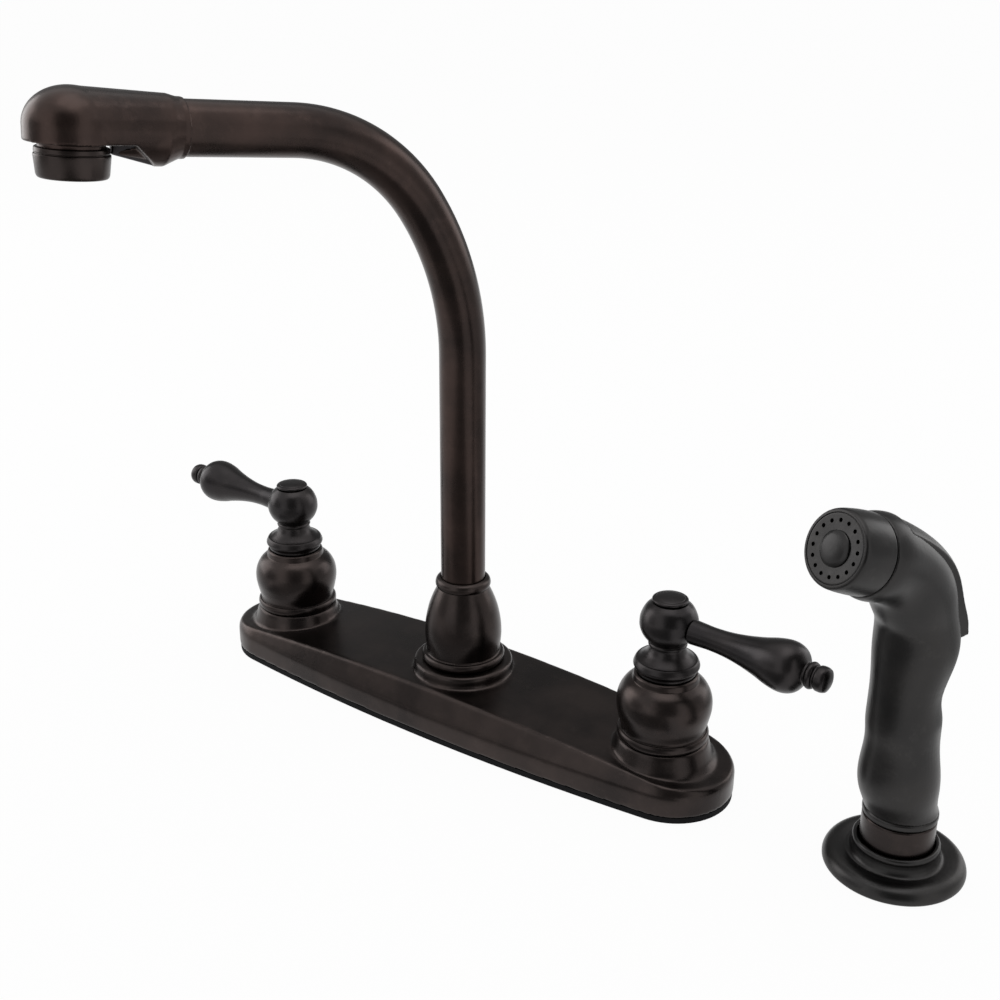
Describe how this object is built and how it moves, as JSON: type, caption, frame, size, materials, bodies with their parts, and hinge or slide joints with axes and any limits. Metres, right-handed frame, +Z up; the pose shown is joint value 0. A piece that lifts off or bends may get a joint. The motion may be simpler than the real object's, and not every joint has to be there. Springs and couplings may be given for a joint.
{
  "type": "two handle kitchen faucet",
  "caption": "Deck mounted kitchen faucet with lever handles, a high swivel spout on an oval plate, and a side sprayer in its own deck holder.",
  "frame": {"origin": "centre of the base gasket's underside, on the sink deck and on the spout's axis", "axes": "+Z up out of the deck, +X from the hot handle to the cold handle and the sprayer, -Y towards the person at the sink"},
  "size_m": [0.3965, 0.1873, 0.3314],
  "materials": {
    "dark_bronze": "satin",
    "bronze_plastic": "satin",
    "black_gasket": "matte",
    "rubber": "matte",
    "ceramic": "polished",
    "brass": "machined",
    "steel": "bright",
    "white_plastic": "matte"
  },
  "bodies": {
    "base": {"base_gasket": "black_gasket", "cold_bonnet": "dark_bronze", "cold_cartridge": "brass", "cold_cross_pipe": "brass", "cold_fixed_disc": "ceramic", "cold_seat_seal": "rubber", "cold_valve_body": "brass", "deck_plate": "dark_bronze", "diverter_cage": "white_plastic", "holder_nut": "brass", "hose_nipple": "brass", "hot_bonnet": "dark_bronze", "hot_cartridge": "brass", "hot_cross_pipe": "brass", "hot_fixed_disc": "ceramic", "hot_seat_seal": "rubber", "hot_valve_body": "brass", "shank_locknuts": "brass", "shank_washers": "steel", "spout_friction_ring": "white_plastic", "spout_hub": "dark_bronze", "spout_post": "brass", "sprayer_holder": "bronze_plastic"},
    "hot_handle": {"hot_lever_hub": "dark_bronze", "hot_lever": "dark_bronze", "hot_handle_cap": "dark_bronze", "hot_handle_screw": "steel", "hot_stem": "brass", "hot_moving_disc": "ceramic", "hot_stem_oring": "rubber", "hot_stem_clip": "steel"},
    "cold_handle": {"cold_lever_hub": "dark_bronze", "cold_lever": "dark_bronze", "cold_handle_cap": "dark_bronze", "cold_handle_screw": "steel", "cold_stem": "brass", "cold_moving_disc": "ceramic", "cold_stem_oring": "rubber", "cold_stem_clip": "steel"},
    "spout": {"spout_tube": "dark_bronze", "spout_head": "dark_bronze", "spout_swivel": "brass", "swivel_orings": "rubber", "aerator_housing": "dark_bronze", "aerator_insert": "white_plastic", "aerator_washer": "rubber"},
    "diverter": {"diverter_piston": "brass", "diverter_seal": "rubber"},
    "spray_inlet": {"spray_coupling": "brass"},
    "sprayer": {"spray_body": "bronze_plastic", "spray_sleeve": "bronze_plastic", "spray_face": "bronze_plastic", "spray_button": "bronze_plastic", "spray_collar": "dark_bronze", "spray_ring": "bronze_plastic", "spring_seat": "brass", "plunger_spring": "steel", "trigger_pin": "steel"},
    "trigger": {"spray_trigger": "bronze_plastic"},
    "plunger": {"spray_plunger": "white_plastic"}
  },
  "joints": [
    {"name": "hot_handle_turn", "type": "hinge", "parent": "base", "child": "hot_handle", "pos_m": [-0.1016, 0, 0.05], "axis": [0, 0, 1], "range_deg": [0, 90]},
    {"name": "cold_handle_turn", "type": "hinge", "parent": "base", "child": "cold_handle", "pos_m": [0.1016, 0, 0.05], "axis": [0, 0, 1], "range_deg": [-90, 0]},
    {"name": "spout_swivel_turn", "type": "hinge", "parent": "base", "child": "spout", "pos_m": [0, 0, 0.05], "axis": [0, 0, 1], "continuous": true},
    {"name": "diverter_lift", "type": "slide", "parent": "base", "child": "diverter", "axis": [0, 0, 1], "range_m": [0, 0.0025]},
    {"name": "sprayer_lift", "type": "slide", "parent": "base", "child": "spray_inlet", "axis": [0, 0, 1], "range_m": [0, 0.06]},
    {"name": "sprayer_turn", "type": "hinge", "parent": "spray_inlet", "child": "sprayer", "pos_m": [0.1986, 0.0065, 0.02], "axis": [0, 0, 1], "continuous": true},
    {"name": "trigger_press", "type": "hinge", "parent": "sprayer", "child": "trigger", "pos_m": [0.19112, -0.01031, 0.1352], "axis": [-0.9135, 0.4067, 0], "range_deg": [0, 6], "stiffness_Nm_per_rad": 0.4},
    {"name": "plunger_press", "type": "slide", "parent": "sprayer", "child": "plunger", "axis": [0, 0, -1], "range_m": [0, 0.0041], "deforming": ["plunger_spring"]}
  ],
  "couplings": [
    {"joint": "plunger_press", "follows": "trigger_press", "m_per_rad": 0.039}
  ]
}
